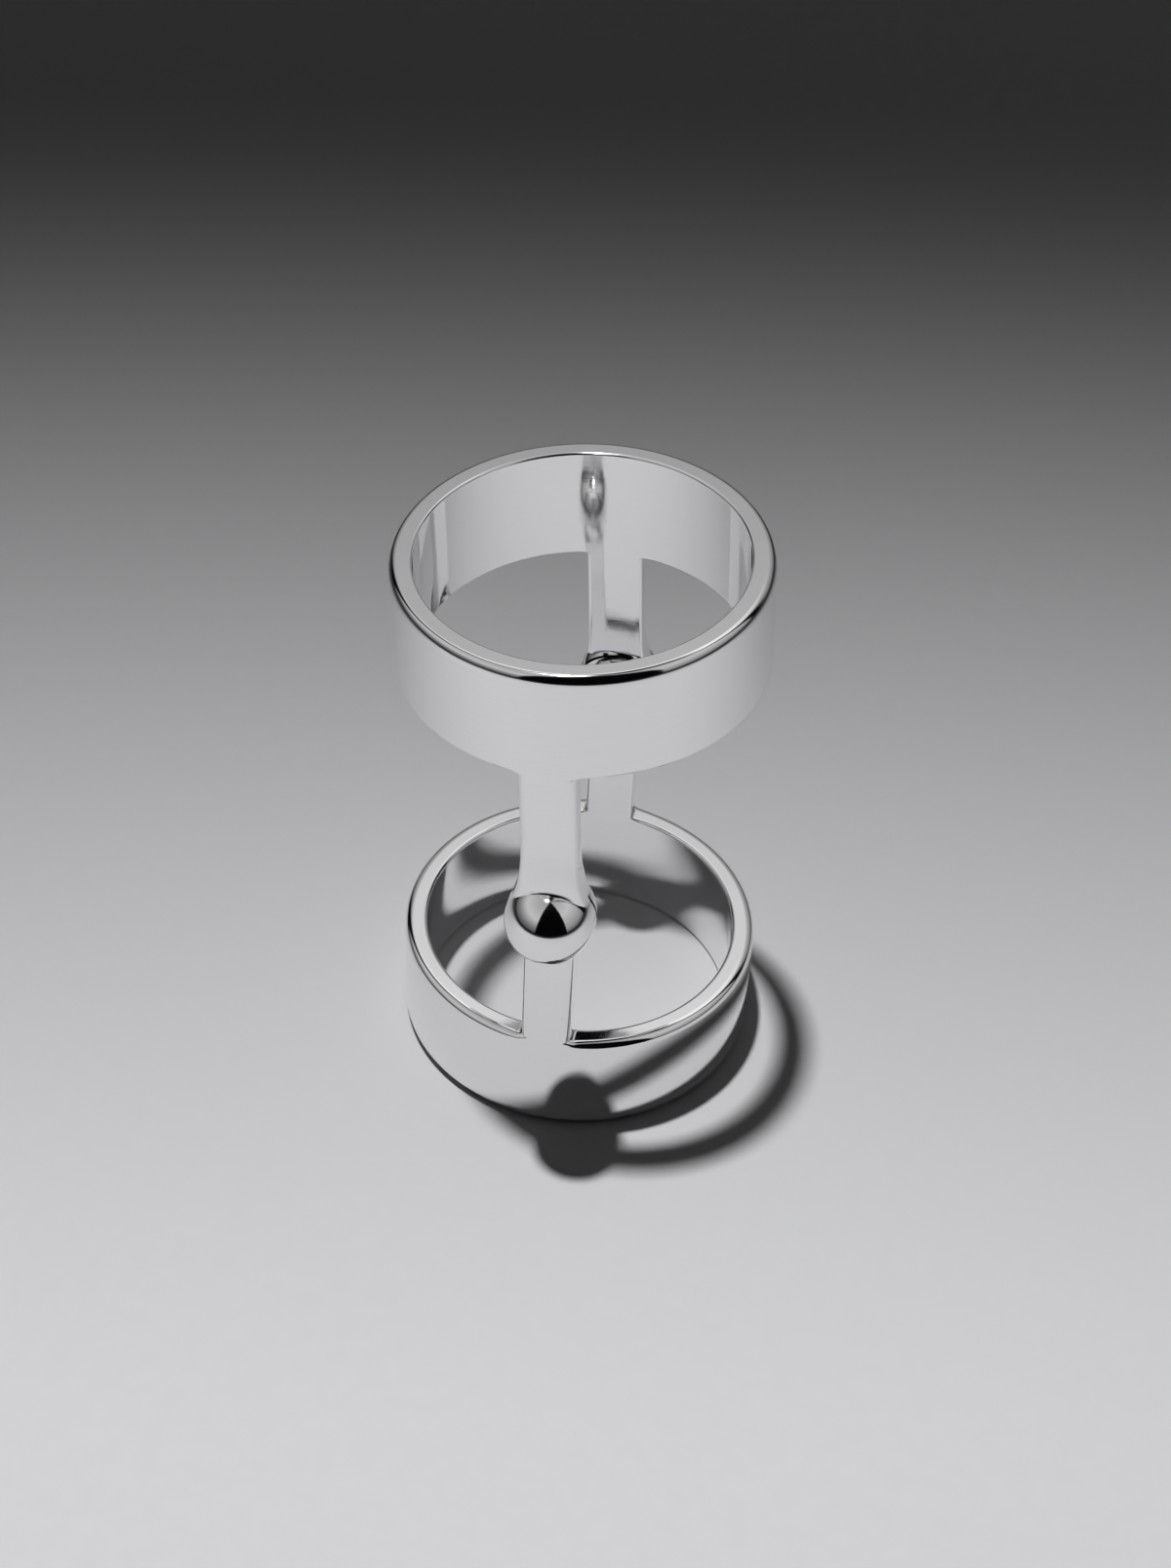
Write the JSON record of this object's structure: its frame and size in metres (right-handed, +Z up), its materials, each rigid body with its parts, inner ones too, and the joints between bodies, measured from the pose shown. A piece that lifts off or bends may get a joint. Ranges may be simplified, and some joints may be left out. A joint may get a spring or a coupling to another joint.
{
  "type": "knuckle ring",
  "caption": "Articulated finger ring: plain polished bands one above the other, joined by slim arms and ball-shaped knuckle hinges, standing on its lower band.",
  "frame": {"origin": "on the surface that the lower band stands on, under the centre of the whole object's box", "axes": "+Z up through the bands, +Y along the hinge axis towards the back knuckle, +X to the right as seen from the front; the upper ring leans towards -X"},
  "size_m": [0.0218, 0.026, 0.0351],
  "materials": {
    "polished_silver": "high polish with fine hairlines",
    "plain_pin_metal": "plain drawn wire, hidden"
  },
  "bodies": {
    "lower": {"lower_ring": "polished_silver", "hinge_pin_front": "plain_pin_metal", "hinge_pin_back": "plain_pin_metal"},
    "upper": {"upper_ring": "polished_silver"}
  },
  "joints": [
    {"name": "knuckle_hinge", "type": "hinge", "parent": "lower", "child": "upper", "pos_m": [0.00044, 0, 0.01715], "axis": [0, 1, 0], "range_deg": [-84, 90]}
  ]
}
